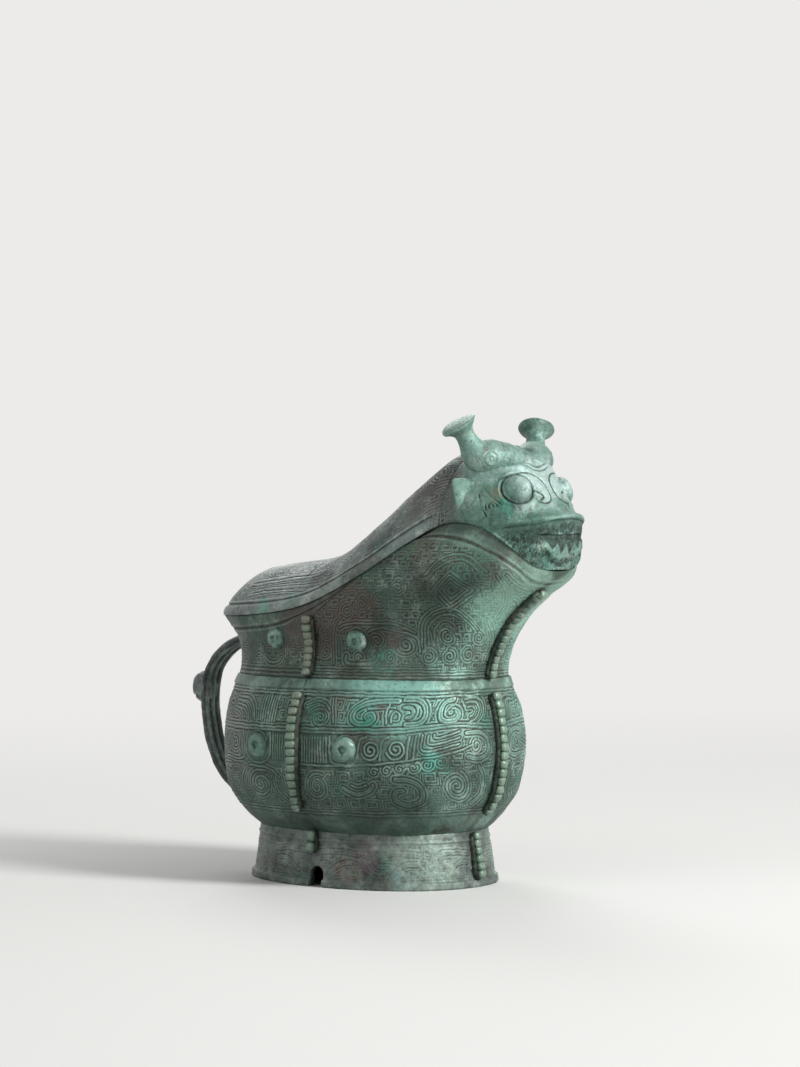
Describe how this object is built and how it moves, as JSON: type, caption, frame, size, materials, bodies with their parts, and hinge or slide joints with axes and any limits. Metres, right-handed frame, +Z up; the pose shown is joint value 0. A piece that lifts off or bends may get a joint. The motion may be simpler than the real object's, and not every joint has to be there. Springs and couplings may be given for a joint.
{
  "type": "ritual wine vessel",
  "caption": "Bronze covered wine-pouring vessel with a flared spout, oval foot ring, scored flanges, rear loop handle and a lift-off lid ending in a horned dragon's head.",
  "frame": {"origin": "on the ground, under the middle of the foot ring, half-way between snout and handle", "axes": "+X towards the spout and the dragon's snout, +Y towards the vessel's left side, +Z up"},
  "size_m": [0.24, 0.1328, 0.2281],
  "materials": {
    "green_patina": "green patina on cast bronze",
    "grey_patina": "grey patina on cast bronze",
    "pale_patina": "pale green patina on cast bronze",
    "earthy_patina": "brown and green patina on cast bronze"
  },
  "bodies": {
    "vessel": {"vessel_wall": "green_patina", "foot_ring": "earthy_patina", "front_flange_neck": "green_patina", "front_flange_belly": "green_patina", "front_flange_foot": "earthy_patina", "right_flange_neck": "green_patina", "right_flange_belly": "green_patina", "right_flange_foot": "earthy_patina", "left_flange_neck": "green_patina", "left_flange_belly": "green_patina", "left_flange_foot": "earthy_patina", "rear_flange_foot": "earthy_patina", "right_belly_eye_front": "green_patina", "right_belly_eye_rear": "green_patina", "right_neck_eye_front": "green_patina", "right_neck_eye_rear": "green_patina", "left_belly_eye_front": "green_patina", "left_belly_eye_rear": "green_patina", "left_neck_eye_front": "green_patina", "left_neck_eye_rear": "green_patina", "handle_strap": "grey_patina", "handle_muzzle": "grey_patina"},
    "lid": {"lid_shell": "grey_patina", "dragon_head": "pale_patina", "right_horn": "pale_patina", "left_horn": "pale_patina", "right_eye": "pale_patina", "left_eye": "pale_patina", "right_ear": "pale_patina", "left_ear": "pale_patina"}
  },
  "joints": [
    {"name": "lid_lift", "type": "slide", "parent": "vessel", "child": "lid", "axis": [0, 0, 1], "range_m": [0, 0.1]}
  ]
}
